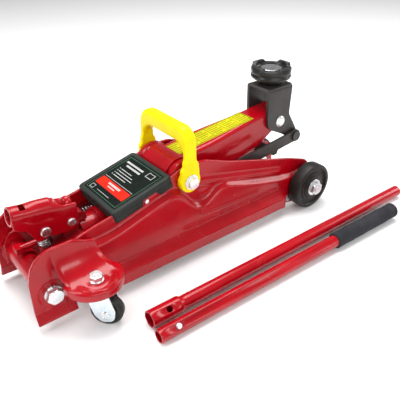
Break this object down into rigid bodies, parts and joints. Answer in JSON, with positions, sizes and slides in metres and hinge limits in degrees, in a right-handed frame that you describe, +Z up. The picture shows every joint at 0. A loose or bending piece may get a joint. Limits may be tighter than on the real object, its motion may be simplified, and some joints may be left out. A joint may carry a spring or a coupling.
{
  "type": "trolley jack",
  "caption": "Low red hydraulic trolley jack with lift arm, swivelling saddle, carry handle, casters and a separate two-piece pump handle.",
  "frame": {"origin": "on the floor, at the middle of the whole set's length and width, pump handle included", "axes": "+X forwards along the jack to its saddle end, +Y to the left, +Z up out of the saddle seat"},
  "size_m": [0.534, 0.2642, 0.2005],
  "materials": {
    "red_paint": "gloss",
    "black_paint": "satin",
    "cast_black": "rough",
    "zinc_steel": "bright zinc",
    "zinc_sheet": "bluish zinc",
    "machined_steel": "ground",
    "bronze": "satin",
    "spring_steel": "oiled",
    "yellow_plastic": "gloss",
    "cover_plastic": "fine grain",
    "wheel_black": "moulded",
    "foam": "foam",
    "seal_rubber": "satin"
  },
  "bodies": {
    "frame": {"side_plate_right": "red_paint", "side_plate_left": "red_paint", "caster_bracket_right": "red_paint", "caster_bracket_left": "red_paint", "rear_cross_tube": "red_paint", "rear_tie_bolts": "zinc_steel", "rear_spring_washers": "zinc_steel", "front_axle_bolts": "zinc_steel", "axle_washers": "zinc_steel", "axle_nuts": "zinc_steel", "front_tie_rod": "zinc_steel", "main_shaft": "machined_steel", "pivot_washers": "zinc_steel", "pivot_bolts": "zinc_steel", "link_pivot_bolts": "zinc_steel", "cover_tray": "cover_plastic", "cover_screws": "zinc_steel", "pump_block": "red_paint", "cylinder_tube": "machined_steel", "reservoir_tank": "red_paint", "tank_nut": "red_paint", "tank_seals": "seal_rubber", "filler_plug": "zinc_steel", "return_springs": "spring_steel", "pump_spring": "spring_steel", "caster_studs": "zinc_steel", "caster_nuts": "zinc_steel", "caster_races": "zinc_sheet"},
    "carry_handle": {"carry_handle": "yellow_plastic"},
    "lift_arm": {"lift_arm": "red_paint", "arm_bushes": "bronze", "lever_pin": "machined_steel", "lever_roller": "machined_steel"},
    "saddle_yoke": {"saddle_yoke": "black_paint", "yoke_rivet": "zinc_steel", "link_pins": "zinc_steel"},
    "saddle": {"saddle_cup": "cast_black", "saddle_rivet": "zinc_steel"},
    "link_rod": {"link_rod": "black_paint"},
    "ram": {"ram_piston": "machined_steel", "ram_seal": "seal_rubber", "ram_head": "machined_steel"},
    "handle_socket": {"handle_socket": "red_paint", "socket_rivets": "zinc_steel", "pump_roller": "machined_steel"},
    "pump_plunger": {"pump_plunger": "machined_steel"},
    "release_valve": {"release_valve": "red_paint"},
    "front_wheel_right": {"front_wheel_right": "wheel_black"},
    "front_wheel_left": {"front_wheel_left": "wheel_black"},
    "caster_right": {"caster_fork_right": "zinc_sheet", "caster_rivet_right": "zinc_steel"},
    "caster_left": {"caster_fork_left": "zinc_sheet", "caster_rivet_left": "zinc_steel"},
    "caster_wheel_right": {"caster_wheel_right": "wheel_black"},
    "caster_wheel_left": {"caster_wheel_left": "wheel_black"},
    "handle_lower": {"handle_lower": "red_paint"},
    "handle_upper": {"handle_upper": "red_paint", "foam_grip": "foam", "snap_spring": "spring_steel"},
    "snap_button": {"snap_button": "zinc_steel"}
  },
  "joints": [
    {"name": "arm_lift", "type": "hinge", "parent": "frame", "child": "lift_arm", "pos_m": [-0.06003, 0.03225, 0.106], "axis": [0, -1, 0], "range_deg": [-22, 46]},
    {"name": "yoke_level", "type": "hinge", "parent": "lift_arm", "child": "saddle_yoke", "pos_m": [0.11246, 0.03225, 0.1264], "axis": [0, -1, 0], "range_deg": [-46, 22]},
    {"name": "link_swing", "type": "hinge", "parent": "frame", "child": "link_rod", "pos_m": [-0.03204, 0.03225, 0.079], "axis": [0, -1, 0], "range_deg": [-22, 46]},
    {"name": "ram_stroke", "type": "slide", "parent": "frame", "child": "ram", "axis": [1, 0, 0], "range_m": [-0.0151, 0.0315], "deforming": ["return_springs"]},
    {"name": "saddle_swivel", "type": "hinge", "parent": "saddle_yoke", "child": "saddle", "pos_m": [0.10897, 0.03225, 0.176], "axis": [0, 0, 1], "continuous": true},
    {"name": "socket_pump", "type": "hinge", "parent": "frame", "child": "handle_socket", "pos_m": [-0.19703, 0.03225, 0.0888], "axis": [0, -1, 0], "range_deg": [0, 20], "stiffness_Nm_per_rad": 0.6, "springref_deg": -20.05},
    {"name": "plunger_stroke", "type": "slide", "parent": "frame", "child": "pump_plunger", "axis": [0, 0, -1], "range_m": [0, 0.0109], "deforming": ["pump_spring"]},
    {"name": "valve_turn", "type": "hinge", "parent": "frame", "child": "release_valve", "pos_m": [-0.23603, 0.04725, 0.062], "axis": [1, 0, 0], "range_deg": [0, 180]},
    {"name": "carry_handle_swing", "type": "hinge", "parent": "frame", "child": "carry_handle", "pos_m": [-0.06003, 0.03225, 0.106], "axis": [0, -1, 0], "range_deg": [0, 60]},
    {"name": "front_wheel_right_spin", "type": "hinge", "parent": "frame", "child": "front_wheel_right", "pos_m": [0.14397, -0.02475, 0.033], "axis": [0, 1, 0], "continuous": true},
    {"name": "front_wheel_left_spin", "type": "hinge", "parent": "frame", "child": "front_wheel_left", "pos_m": [0.14397, 0.08925, 0.033], "axis": [0, 1, 0], "continuous": true},
    {"name": "caster_right_swivel", "type": "hinge", "parent": "frame", "child": "caster_right", "pos_m": [-0.20703, -0.04525, 0.045], "axis": [0, 0, 1], "continuous": true},
    {"name": "caster_left_swivel", "type": "hinge", "parent": "frame", "child": "caster_left", "pos_m": [-0.20703, 0.10974, 0.045], "axis": [0, 0, 1], "continuous": true},
    {"name": "caster_right_roll", "type": "hinge", "parent": "caster_right", "child": "caster_wheel_right", "pos_m": [-0.20148, -0.05101, 0.018], "axis": [0.7193, 0.6947, 0], "continuous": true},
    {"name": "caster_left_roll", "type": "hinge", "parent": "caster_left", "child": "caster_wheel_left", "pos_m": [-0.20148, 0.1155, 0.018], "axis": [0.7193, -0.6947, 0], "continuous": true},
    {"name": "handle_lower_lift", "type": "slide", "parent": "frame", "child": "handle_lower", "axis": [0, 0, 1], "range_m": [0, 0.2]},
    {"name": "handle_upper_lift", "type": "slide", "parent": "frame", "child": "handle_upper", "axis": [0, 0, 1], "range_m": [0, 0.2]},
    {"name": "snap_button_press", "type": "slide", "parent": "handle_upper", "child": "snap_button", "axis": [0, 0.6428, -0.766], "range_m": [0, 0.003], "stiffness_N_per_m": 800, "springref_m": -0.001}
  ],
  "couplings": [
    {"joint": "yoke_level", "follows": "arm_lift", "ratio": -1},
    {"joint": "link_swing", "follows": "arm_lift", "ratio": 1},
    {"joint": "ram_stroke", "follows": "arm_lift", "m_per_rad": 0.0392},
    {"joint": "plunger_stroke", "follows": "socket_pump", "m_per_rad": 0.031}
  ]
}
